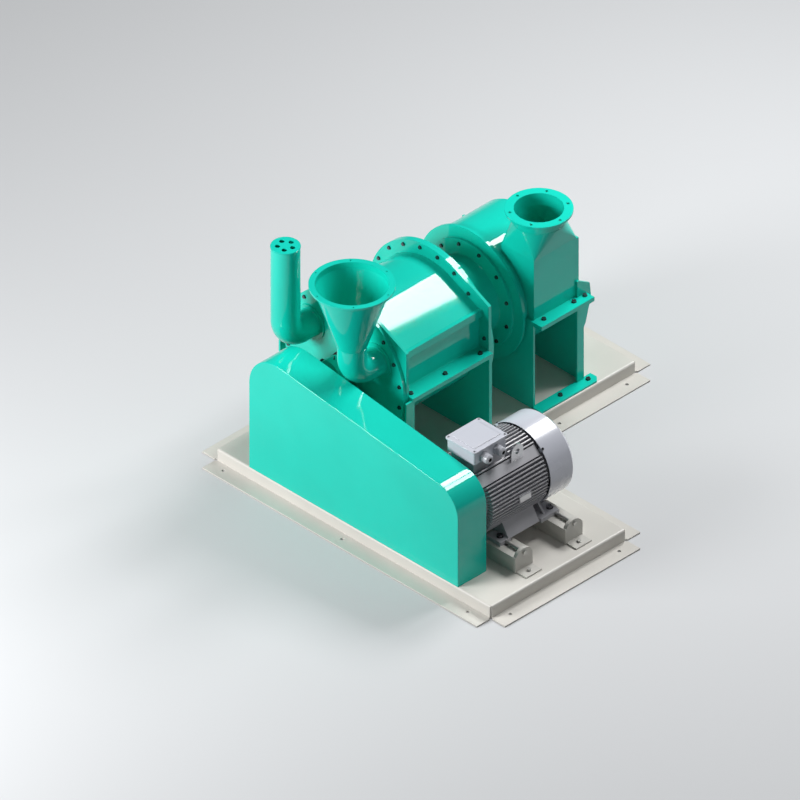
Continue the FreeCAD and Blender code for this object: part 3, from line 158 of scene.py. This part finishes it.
def material(name, rgb, rough, metallic=0.0, coat=0.0, coat_rough=0.08, vary=0.06, scale=2.5,
             bump=0.0, bump_scale=300.0, rough_vary=0.06, stretch=(1, 1, 1), edge=0.0,
             specular=0.5):
    """A finish whose colour, gloss and fine surface vary over the object's own coordinates.

    edge is the radius in metres at which paint rounds a sharp corner.
    """
    mat = bpy.data.materials.new(name)
    mat.use_nodes = True
    tree = mat.node_tree
    shader = tree.nodes["Principled BSDF"]
    shader.inputs["Metallic"].default_value = metallic
    shader.inputs["Specular IOR Level"].default_value = specular
    shader.inputs["Coat Weight"].default_value = coat
    shader.inputs["Coat Roughness"].default_value = coat_rough
    coords = tree.nodes.new("ShaderNodeTexCoord")
    mapping = tree.nodes.new("ShaderNodeMapping")
    mapping.inputs["Scale"].default_value = stretch
    tree.links.new(coords.outputs["Object"], mapping.inputs["Vector"])

    cloud = tree.nodes.new("ShaderNodeTexNoise")
    cloud.inputs["Scale"].default_value = scale
    cloud.inputs["Detail"].default_value = CLOUD_DETAIL
    tree.links.new(mapping.outputs["Vector"], cloud.inputs["Vector"])
    ramp = tree.nodes.new("ShaderNodeValToRGB")
    ramp.color_ramp.elements[0].position = RAMP_START
    ramp.color_ramp.elements[1].position = RAMP_END
    ramp.color_ramp.elements[0].color = [c * (1 - vary) for c in rgb] + [1]
    ramp.color_ramp.elements[1].color = [min(1.0, c * (1 + vary)) for c in rgb] + [1]
    tree.links.new(cloud.outputs["Fac"], ramp.inputs["Fac"])
    tree.links.new(ramp.outputs["Color"], shader.inputs["Base Color"])

    spread = tree.nodes.new("ShaderNodeMapRange")
    spread.inputs["To Min"].default_value = max(LEAST_ROUGHNESS, rough - rough_vary)
    spread.inputs["To Max"].default_value = rough + rough_vary
    tree.links.new(cloud.outputs["Fac"], spread.inputs["Value"])
    tree.links.new(spread.outputs["Result"], shader.inputs["Roughness"])

    normal = None
    if edge:
        rounded = tree.nodes.new("ShaderNodeBevel")
        rounded.samples = EDGE_SAMPLES
        rounded.inputs["Radius"].default_value = edge
        normal = rounded.outputs["Normal"]
    if bump:
        grain = tree.nodes.new("ShaderNodeTexNoise")
        grain.inputs["Scale"].default_value = bump_scale
        grain.inputs["Detail"].default_value = GRAIN_DETAIL
        tree.links.new(mapping.outputs["Vector"], grain.inputs["Vector"])
        relief = tree.nodes.new("ShaderNodeBump")
        relief.inputs["Strength"].default_value = bump
        relief.inputs["Distance"].default_value = GRAIN_HEIGHT
        tree.links.new(grain.outputs["Fac"], relief.inputs["Height"])
        if normal:
            tree.links.new(normal, relief.inputs["Normal"])
        normal = relief.outputs["Normal"]
    if normal:
        tree.links.new(normal, shader.inputs["Normal"])
    return mat


FINISHES = {
    "teal_paint": material("teal_gloss_paint", (0.005, 0.59, 0.465), 0.46, coat=0.9,
                           coat_rough=0.03, vary=0.05, bump=0.08, bump_scale=180.0, edge=0.004,
                           specular=0.03),
    "base_paint": material("cream_satin_paint", (0.63, 0.61, 0.565), 0.42, coat=0.12,
                           coat_rough=0.2, vary=0.05, bump=0.12, bump_scale=220.0, edge=0.005),
    "motor_iron": material("grey_enamel_on_iron", (0.42, 0.42, 0.445), 0.38, coat=0.25,
                           coat_rough=0.15, vary=0.08, bump=0.35, bump_scale=420.0, edge=0.0015),
    "motor_sheet": material("grey_enamel_on_sheet", (0.56, 0.575, 0.64), 0.26, coat=0.4,
                            coat_rough=0.08, vary=0.03, bump=0.06, bump_scale=200.0, edge=0.004),
    "gland_plastic": material("grey_nylon", (0.46, 0.47, 0.51), 0.30, coat=0.2, vary=0.05,
                              bump=0.1),
    "fan_plastic": material("black_nylon", (0.03, 0.03, 0.035), 0.45, vary=0.1, bump=0.2),
    "rail_paint": material("grey_rail_enamel", (0.56, 0.55, 0.51), 0.40, coat=0.1, vary=0.06,
                           bump=0.3, bump_scale=380.0, edge=0.003),
    "turned_steel": material("turned_steel", (0.56, 0.56, 0.57), 0.28, metallic=1.0, vary=0.08,
                             bump=0.15, bump_scale=90.0, stretch=(1, 12, 1)),
    "wear_steel": material("hardened_plate", (0.36, 0.35, 0.34), 0.4, metallic=1.0, vary=0.15,
                           bump=0.3),
    "core_steel": material("laminated_steel", (0.28, 0.27, 0.27), 0.45, metallic=1.0, vary=0.1,
                           bump=0.5, bump_scale=500.0, stretch=(0.1, 6, 0.1)),
    "cast_iron": material("machined_cast_iron", (0.17, 0.175, 0.185), 0.42, metallic=0.7,
                          vary=0.1, bump=0.4, bump_scale=350.0),
    "bearing_steel": material("ground_steel", (0.62, 0.62, 0.63), 0.16, metallic=1.0, vary=0.05,
                              bump=0.05),
    "seal_rubber": material("seal_rubber", (0.02, 0.02, 0.02), 0.55, vary=0.2, bump=0.2),
    "belt_rubber": material("belt_rubber", (0.022, 0.022, 0.022), 0.7, vary=0.25, bump=0.5,
                            bump_scale=700.0),
    "dark_bolts": material("black_oxide_steel", (0.13, 0.13, 0.14), 0.24, metallic=0.9, vary=0.2,
                           bump=0.2, bump_scale=500.0),
}
PLATE = material("blank_alloy_plate", (0.55, 0.55, 0.56), 0.3, metallic=1.0, vary=0.05, bump=0.1,
                 bump_scale=120.0, stretch=(1, 1, 20))
ZINC = material("zinc_plated_steel", (0.50, 0.50, 0.48), 0.32, metallic=0.85, vary=0.12, bump=0.2,
                bump_scale=400.0)

# Nodes whose finish is not that of their slot
OWN_FINISH = {
    "adjusting_bolts": ZINC,
    "rail_foot_bolts": ZINC,
    "fan_impeller": FINISHES["wear_steel"],
}


def dress_nodes():
    """Give every construction node the finish of its slot, or its own."""
    slot_of = {s["node"]: s["material_slot"] for s in frame["record"]["subparts"]}
    for name, obj in nodes.items():
        obj.data.materials.clear()
        obj.data.materials.append(OWN_FINISH.get(name, FINISHES[slot_of[name]]))
        for poly in obj.data.polygons:
            poly.material_index = 0


# Mesh tools: an edge that turns by less than the limit is shaded smooth, and a radius below
# ON_AXIS (millimetres) is a point
SMOOTH_LIMIT = math.radians(35.0)
ON_AXIS = 1e-6


def finish_piece(bm, name, slot, body="frame", mat=None):
    """Turn a bmesh into a visible piece that rides on a body."""
    mesh = bpy.data.meshes.new(name)
    bmesh.ops.recalc_face_normals(bm, faces=bm.faces)
    for face in bm.faces:
        face.smooth = True
    for edge in bm.edges:
        edge.smooth = len(edge.link_faces) == 2 and edge.calc_face_angle(0.0) < SMOOTH_LIMIT
    bm.to_mesh(mesh)
    bm.free()
    obj = bpy.data.objects.new(name, mesh)
    bpy.context.scene.collection.objects.link(obj)
    mesh.materials.append(mat or FINISHES[slot])
    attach(obj, body)


def across(axis):
    """Two directions square to an axis."""
    side = UP if abs(axis.z) < 0.5 else RIGHT
    side = (side - axis * side.dot(axis)).normalized()
    return side, axis.cross(side)


def turned(bm, profile, centre, axis, segments=24):
    """Add a solid of revolution: profile is (radius, along) in millimetres from centre."""
    side, other = across(axis)
    rings = []
    for r, along in profile:
        if r < ON_AXIS:
            rings.append([bm.verts.new(centre + axis * along * MM)])
            continue
        ring = []
        for i in range(segments):
            a = 2 * math.pi * i / segments
            out = side * math.cos(a) + other * math.sin(a)
            ring.append(bm.verts.new(centre + axis * along * MM + out * r * MM))
        rings.append(ring)
    for low, high in zip(rings, rings[1:]):
        for i in range(segments):
            j = (i + 1) % segments
            if len(low) == 1:
                bm.faces.new((low[0], high[j], high[i]))
            elif len(high) == 1:
                bm.faces.new((low[i], low[j], high[0]))
            else:
                bm.faces.new((low[i], low[j], high[j], high[i]))


def nut(bm, centre, axis, d):
    """Hex nut with chamfered crown, washer and the rounded end of its bolt."""
    washer = 0.18 * d
    top = washer + 0.8 * d
    turned(bm, [(0, 0), (1.05 * d, 0), (1.05 * d, washer), (0, washer)], centre, axis, 20)
    turned(bm, [(0, washer), (0.94 * d, washer), (0.94 * d, top - 1.2), (0.80 * d, top),
                (0, top)], centre, axis, 6)
    turned(bm, [(0, top), (0.5 * d, top), (0.5 * d, top + 0.25 * d), (0.38 * d, top + 0.4 * d),
                (0, top + 0.4 * d)], centre, axis, 16)


def screw(bm, centre, axis, d):
    """Cap screw head with a sunk socket."""
    top = 0.55 * d
    turned(bm, [(0, 0), (0.9 * d, 0), (0.9 * d, top * 0.8), (0.78 * d, top), (0.42 * d, top),
                (0.40 * d, top * 0.35), (0, top * 0.35)], centre, axis, 18)


# Weld beads: points round the bead, its height over its width, and the waist of its ripples
BEAD_SIDES = 6
BEAD_HEIGHT = 0.8
BEAD_WAIST = 0.86
FULL_TURN = 359.9


def bead(bm, points, normals, size, closed=False):
    """Weld bead: a low rippled round laid along points, bulging along normals (metres)."""
    rings = []
    count = len(points)
    for i, (p, n) in enumerate(zip(points, normals)):
        ahead = points[(i + 1) % count] if closed or i + 1 < count else points[i]
        behind = points[i - 1] if closed or i else points[i]
        along = (ahead - behind).normalized()
        flat = along.cross(n).normalized()
        r = size * MM * (1.0 if i % 2 else BEAD_WAIST)
        ring = []
        for k in range(BEAD_SIDES):
            a = 2 * math.pi * k / BEAD_SIDES
            ring.append(bm.verts.new(p + flat * r * math.cos(a) +
                                     n * r * BEAD_HEIGHT * math.sin(a)))
        rings.append(ring)
    pairs = list(zip(rings, rings[1:]))
    if closed:
        pairs.append((rings[-1], rings[0]))
    else:
        bm.faces.new(rings[0])
        bm.faces.new(list(reversed(rings[-1])))
    for low, high in pairs:
        for k in range(BEAD_SIDES):
            m = (k + 1) % BEAD_SIDES
            bm.faces.new((low[k], low[m], high[m], high[k]))


def bead_line(bm, start, end, normal, size=4.0, step=6.0):
    """Straight bead from start to end."""
    length = (end - start).length
    count = max(3, int(length / (step * MM)))
    points = [start.lerp(end, i / count) for i in range(count + 1)]
    bead(bm, points, [normal.normalized()] * len(points), size)


def bead_arc(bm, centre, axis, radius, lean, size=4.0, step=6.0, start=0.0, sweep=360.0):
    """Bead round an axis; lean tips it along the axis, so that it sits in the corner there."""
    side, other = across(axis)
    count = max(8, 2 * int(math.radians(sweep) * radius / step / 2))
    closed = sweep > FULL_TURN
    last = count if closed else count + 1
    points, normals = [], []
    for i in range(last):
        a = math.radians(start + sweep * i / count)
        out = side * math.cos(a) + other * math.sin(a)
        points.append(centre + out * radius * MM)
        normals.append((out + axis * lean).normalized())
    bead(bm, points, normals, size, closed=closed)


def ring_places(radius, count, first, y, skip=()):
    """Places of a screw ring round the mill's axis, less those skipped."""
    places = []
    for i in range(count):
        if i in skip:
            continue
        a = math.radians(first + i * 360.0 / count)
        places.append(at(MILL_X + radius * math.cos(a), y, MILL_Z + radius * math.sin(a)))
    return places


def make_nuts():
    """Nuts behind the flanges."""
    big_ring = (RING_R, RING_COUNT, RING_FIRST)
    sets = (
        ("front_flange_nuts", ring_places(*big_ring, FRONT_RING_BACK, skip=(HOOD_PLACE,))),
        ("throat_disc_nuts", ring_places(*big_ring, THROAT_DISC_BACK, skip=(HOOD_PLACE,))),
        ("throat_nuts", ring_places(THROAT_RING_R, THROAT_COUNT, THROAT_FIRST, THROAT_BACK)),
    )
    for name, places in sets:
        bm = bmesh.new()
        for place in places:
            nut(bm, place, BACK, RING_NUT_D)
        finish_piece(bm, name, "dark_bolts")


def make_shell_welds():
    """Weld beads in the corners of the chamber, the throat and the outlet neck."""
    bm = bmesh.new()
    mill = at(MILL_X, 0, MILL_Z)
    for y, lean in ((CASING_RING_A, 1), (CASING_RING_B, -1)):
        bead_arc(bm, mill + BACK * y * MM, BACK, CASING_R, lean, start=CASING_BEAD_START,
                 sweep=CASING_BEAD_SWEEP)
    for s in (-1, 1):
        x = MILL_X + s * CASING_R
        for z, way in ((MILL_Z, 1), (MILL_Z - SHELF_T, -1)):
            bead_line(bm, at(x, CASING_RING_A + BEAD_INSET, z),
                      at(x, CASING_RING_B - BEAD_INSET, z), Vector((s, 0, way)))
    finish_piece(bm, "casing_welds", "teal_paint")

    bm = bmesh.new()
    for y, lean in ((THROAT_DISC_BACK, 1), (THROAT_BEAD_BACK, -1)):
        bead_arc(bm, mill + BACK * y * MM, BACK, THROAT_R, lean)
    finish_piece(bm, "throat_welds", "teal_paint")

    bm = bmesh.new()
    outlet = at(OUTLET[0], OUTLET[1], 0)
    bead_arc(bm, outlet + UP * NECK_TOP * MM, UP, NECK_R, -1)
    bead_arc(bm, outlet + UP * NECK_FOOT * MM, UP, NECK_R, 0, size=3.0)
    finish_piece(bm, "outlet_welds", "teal_paint")


def make_pipe_welds():
    """Weld beads of the air pipe and the feed funnel."""
    bm = bmesh.new()
    for x in PIPE_XS:
        bead_arc(bm, at(x, PIPE_COLLAR_Y, PIPE_Z), BACK, PIPE_R, -1)
    bead_arc(bm, at(PIPE_XS[1], PIPE_Y, CONE_FOOT), UP, PIPE_R, 0, size=3.0)
    bead_arc(bm, at(PIPE_XS[1], PIPE_Y, FUNNEL_RING_Z), UP, FUNNEL_R, -1, size=3.5)
    bead_arc(bm, at(PIPE_XS[0], PIPE_Y, CAP_SEAM_Z), UP, PIPE_R, 0, size=2.2)
    finish_piece(bm, "pipe_welds", "teal_paint")


def make_support_welds():
    """Weld beads where the rear support's legs stand on its foot."""
    bm = bmesh.new()
    for s in (-1, 1):
        x = MILL_X + s * REAR_LEG_X
        for y in REAR_LEG_Y:
            bead_line(bm, at(x, y, FOOT_TOP), at(x, y + LEG_T, FOOT_TOP), Vector((s, 0, 1)))
    left = MILL_X - REAR_LEG_X
    for y, way in ((REAR_LEG_Y[0], -1), (REAR_LEG_Y[0] + LEG_T, 1)):
        bead_line(bm, at(left + FOOT_BEAD[0], y, FOOT_TOP), at(left + FOOT_BEAD[1], y, FOOT_TOP),
                  Vector((0, way, 1)))
    finish_piece(bm, "support_welds", "teal_paint")


def make_motor_details():
    """Lid screws, cowl screws and gland seals."""
    bm = bmesh.new()
    for x in (LID_X[0] + LID_SCREW_INSET, LID_X[1] - LID_SCREW_INSET):
        for y in (LID_Y[0] + LID_SCREW_INSET, LID_Y[1] - LID_SCREW_INSET):
            screw(bm, at(x, y, LID_TOP), UP, LID_SCREW_D)
    finish_piece(bm, "lid_screws", "turned_steel")

    bm = bmesh.new()
    for turn in (45, 135, 225, 315):
        out = Vector((math.cos(math.radians(turn)), 0, math.sin(math.radians(turn))))
        screw(bm, at(MOTOR_X, COWL_SCREW_Y, MOTOR_Z) + out * COWL_R * MM, out, COWL_SCREW_D)
    finish_piece(bm, "cowl_screws", "dark_bolts")

    bm = bmesh.new()
    for y in GLAND_YS:
        turned(bm, GLAND_SEAL, at(GLAND_X, y, GLAND_Z), RIGHT, 20)
    finish_piece(bm, "gland_seals", "seal_rubber")


def make_rating_plate():
    """A bare plate with rounded corners, held by four rivets."""
    bm = bmesh.new()
    ya, yb = PLATE_Y
    za, zb = PLATE_Z
    corner = PLATE_CORNER_R
    outline = []
    for cy, cz, first in ((yb - corner, zb - corner, 0), (ya + corner, zb - corner, 90),
                          (ya + corner, za + corner, 180), (yb - corner, za + corner, 270)):
        for k in range(5):
            a = math.radians(first + 22.5 * k)
            outline.append((cy + corner * math.cos(a), cz + corner * math.sin(a)))
    low = [bm.verts.new(at(PLATE_X, y, z)) for y, z in outline]
    high = [bm.verts.new(at(PLATE_X + PLATE_T, y, z)) for y, z in outline]
    bm.faces.new(low)
    bm.faces.new(high)
    for i in range(len(low)):
        j = (i + 1) % len(low)
        bm.faces.new((low[i], low[j], high[j], high[i]))
    for y in (ya + RIVET_INSET, yb - RIVET_INSET):
        for z in (za + RIVET_INSET, zb - RIVET_INSET):
            turned(bm, RIVET, at(PLATE_X + PLATE_T, y, z), RIGHT, 12)
    finish_piece(bm, "rating_plate", "turned_steel", mat=PLATE)


def make_bearing_details():
    """Cap bolts and a grease nipple on each housing, and the cover over the rear shaft end."""
    for name, y in (("front", FRONT_BEARING_Y), ("rear", REAR_BEARING_Y)):
        bm = bmesh.new()
        for s in (-1, 1):
            nut(bm, at(MILL_X + s * HOUSING_EAR_X, y, MILL_Z + HOUSING_EAR_TOP), UP, CAP_BOLT_D)
        turned(bm, GREASE_NIPPLE, at(MILL_X, y, MILL_Z + HOUSING_R), UP, 16)
        finish_piece(bm, name + "_cap_bolts", "dark_bolts")
    bm = bmesh.new()
    centre = at(MILL_X, REAR_BEARING_Y + HOUSING_HALF, MILL_Z)
    turned(bm, BEARING_COVER, centre, BACK, 48)
    for turn in (45, 135, 225, 315):
        a = math.radians(turn)
        out = RIGHT * math.cos(a) + UP * math.sin(a)
        screw(bm, centre + out * COVER_SCREW_R * MM + BACK * COVER_T * MM, BACK, COVER_SCREW_D)
    finish_piece(bm, "rear_bearing_cover", "teal_paint")


# Light of the room on the object, and the backdrop the camera sees
ROOM_COLOUR = (0.86, 0.90, 0.94, 1)
ROOM_STRENGTH = 0.085
BACKDROP_COLOUR = (0.70, 0.71, 0.72, 1)


def make_world():
    world = bpy.data.worlds.new("studio")
    bpy.context.scene.world = world
    world.use_nodes = True
    tree = world.node_tree
    room = tree.nodes["Background"]
    room.inputs["Color"].default_value = ROOM_COLOUR
    room.inputs["Strength"].default_value = ROOM_STRENGTH
    seen = tree.nodes.new("ShaderNodeBackground")
    seen.inputs["Color"].default_value = BACKDROP_COLOUR
    path = tree.nodes.new("ShaderNodeLightPath")
    mix = tree.nodes.new("ShaderNodeMixShader")
    tree.links.new(path.outputs["Is Camera Ray"], mix.inputs["Fac"])
    tree.links.new(room.outputs["Background"], mix.inputs[1])
    tree.links.new(seen.outputs["Background"], mix.inputs[2])
    tree.links.new(mix.outputs["Shader"], tree.nodes["World Output"].inputs["Surface"])


# Soft lamps: name, place, what they face, width and height in metres, power in watts
LAMPS = (
    ("key_front", (-2.3, -5.7, 2.9), (0, 0, 0.5), (2.6, 2.2), 425.0),
    ("sky_left", (-0.602, 3.6, 5.4), (-0.602, 0.1, 0.8), (1.7, 2.3), 255.0),
    ("sky_right", (1.2, 3.6, 5.4), (1.2, 0.1, 0.8), (1.4, 2.3), 180.0),
    ("fill_right", (5.0, -0.5, 2.5), (0, 0, 0.5), (3.0, 2.5), 25.0),
)


def make_lamp(name, place, target, size, power):
    light = bpy.data.lights.new(name, "AREA")
    light.shape = "RECTANGLE"
    light.size = size[0]
    light.size_y = size[1]
    light.energy = power
    obj = bpy.data.objects.new(name, light)
    obj.location = place
    obj.rotation_euler = (Vector(target) - Vector(place)).to_track_quat("-Z", "Y").to_euler()
    bpy.context.scene.collection.objects.link(obj)


# Floor: what it throws back at the object, and its surface and glow as the camera sees it
FLOOR_RETURN = (0.20, 0.205, 0.21)
FLOOR_SEEN = (0.44, 0.45, 0.46, 1)
FLOOR_GLOW = (0.19, 0.192, 0.195, 1)
FLOOR_ROUGHNESS = 0.6
FLOOR_SPECULAR = 0.1
FLOOR_SIZE = 24.0
FLOOR_DROP = 0.0005


def floor_finish():
    """Pale to the camera, a little darker to everything else, so that it lifts no shade."""
    mat = material("pale_floor", FLOOR_RETURN, FLOOR_ROUGHNESS, vary=0.02, scale=0.6)
    tree = mat.node_tree
    shader = tree.nodes["Principled BSDF"]
    shader.inputs["Specular IOR Level"].default_value = FLOOR_SPECULAR
    seen = tree.nodes.new("ShaderNodeBsdfDiffuse")
    seen.inputs["Color"].default_value = FLOOR_SEEN
    glow = tree.nodes.new("ShaderNodeEmission")
    glow.inputs["Color"].default_value = FLOOR_GLOW
    both = tree.nodes.new("ShaderNodeAddShader")
    tree.links.new(seen.outputs["BSDF"], both.inputs[0])
    tree.links.new(glow.outputs["Emission"], both.inputs[1])
    path = tree.nodes.new("ShaderNodeLightPath")
    shown = path.outputs["Is Camera Ray"]
    for kind in ("Is Glossy Ray", "Is Transmission Ray"):
        either = tree.nodes.new("ShaderNodeMath")
        either.operation = "MAXIMUM"
        tree.links.new(shown, either.inputs[0])
        tree.links.new(path.outputs[kind], either.inputs[1])
        shown = either.outputs["Value"]
    mix = tree.nodes.new("ShaderNodeMixShader")
    tree.links.new(shown, mix.inputs["Fac"])
    tree.links.new(shader.outputs["BSDF"], mix.inputs[1])
    tree.links.new(both.outputs["Shader"], mix.inputs[2])
    tree.links.new(mix.outputs["Shader"], tree.nodes["Material Output"].inputs["Surface"])
    return mat


def make_floor():
    bm = bmesh.new()
    bmesh.ops.create_grid(bm, x_segments=1, y_segments=1, size=FLOOR_SIZE)
    mesh = bpy.data.meshes.new("floor")
    bm.to_mesh(mesh)
    bm.free()
    floor = bpy.data.objects.new("floor", mesh)
    bpy.context.scene.collection.objects.link(floor)
    floor.location.z = -FLOOR_DROP
    mesh.materials.append(floor_finish())


# The camera looks down a cube's diagonal with parallel rays
IMAGE_WIDTH = 800.0
PIXELS_PER_MM = 0.20208
VIEW_CENTRE = at(774.65, 511.65, 500.0)
VIEW_FROM = Vector((1, -1, 1)).normalized()
VIEW_DISTANCE = 16.0
VIEW_REACH = 90.0


def make_camera():
    cam = bpy.data.cameras.new("camera")
    cam.type = "ORTHO"
    cam.ortho_scale = IMAGE_WIDTH / PIXELS_PER_MM * MM
    cam.clip_end = VIEW_REACH
    obj = bpy.data.objects.new("camera", cam)
    obj.location = VIEW_CENTRE + VIEW_FROM * VIEW_DISTANCE
    obj.rotation_euler = (-VIEW_FROM).to_track_quat("-Z", "Y").to_euler()
    bpy.context.scene.collection.objects.link(obj)
    bpy.context.scene.camera = obj


dress_nodes()
make_nuts()
make_shell_welds()
make_pipe_welds()
make_support_welds()
make_motor_details()
make_rating_plate()
make_bearing_details()
make_world()
make_floor()
make_camera()
for lamp in LAMPS:
    make_lamp(*lamp)
bpy.context.scene.view_settings.view_transform = "Standard"
